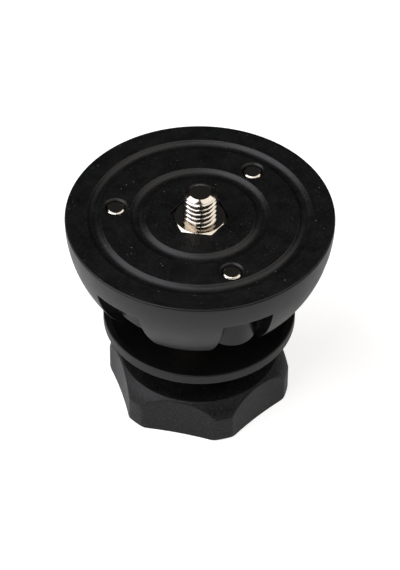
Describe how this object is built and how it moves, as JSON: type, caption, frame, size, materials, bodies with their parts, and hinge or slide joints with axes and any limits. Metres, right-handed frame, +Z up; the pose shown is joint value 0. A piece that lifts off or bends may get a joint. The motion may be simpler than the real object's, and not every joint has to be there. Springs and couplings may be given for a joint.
{
  "type": "tripod half ball adapter",
  "caption": "Levelling half ball that clamps in a tripod bowl with a disc and hand knob and carries a tripod head on a threaded stud.",
  "frame": {"origin": "centre of the knob's foot, on the surface that the adapter stands on", "axes": "+Z up along the tie bolt towards the platform; the first set screw lies towards -Y"},
  "size_m": [0.075, 0.075, 0.0726],
  "materials": {
    "black_casting": "black anodised casting, fine matte grain",
    "black_disc": "black anodised, satin",
    "nickel_plate": "bright nickel plate",
    "zinc_steel": "zinc plate, dull",
    "spring_steel": "phosphated spring steel",
    "nylon": "natural nylon",
    "black_plastic": "black moulding with a fine spark-eroded grain",
    "brass": "turned",
    "black_cap": "smooth black moulding"
  },
  "bodies": {
    "ball": {"half_ball": "black_casting", "tie_bolt": "nickel_plate", "hub_washer": "zinc_steel", "hub_lock_washer": "spring_steel", "hub_nut": "zinc_steel", "stop_washer": "zinc_steel", "stop_screw": "zinc_steel"},
    "screw_front": {"set_screw_1": "nickel_plate"},
    "screw_right": {"set_screw_2": "nickel_plate"},
    "screw_left": {"set_screw_3": "nickel_plate"},
    "carriage": {"thrust_washer": "nylon"},
    "disc": {"clamp_disc": "black_disc"},
    "knob": {"knob_body": "black_plastic", "knob_insert": "brass", "knob_cap": "black_cap", "disc_ring": "spring_steel"}
  },
  "joints": [
    {"name": "carriage_travel", "type": "slide", "parent": "ball", "child": "carriage", "axis": [0, 0, 1], "range_m": [-0.0029, 0.004]},
    {"name": "disc_spin", "type": "hinge", "parent": "carriage", "child": "disc", "pos_m": [0, 0, 0.0212], "axis": [0, 0, 1], "continuous": true},
    {"name": "knob_turn", "type": "hinge", "parent": "carriage", "child": "knob", "pos_m": [0, 0, 0.0198], "axis": [0, 0, 1], "range_deg": [-697, 961]},
    {"name": "screw_front_travel", "type": "slide", "parent": "ball", "child": "screw_front", "axis": [0, 0, 1], "range_m": [-0.003, 0.0025]},
    {"name": "screw_right_travel", "type": "slide", "parent": "ball", "child": "screw_right", "axis": [0, 0, 1], "range_m": [-0.003, 0.0025]},
    {"name": "screw_left_travel", "type": "slide", "parent": "ball", "child": "screw_left", "axis": [0, 0, 1], "range_m": [-0.003, 0.0025]}
  ],
  "couplings": [
    {"joint": "knob_turn", "follows": "carriage_travel", "rad_per_m": 4188.8}
  ]
}
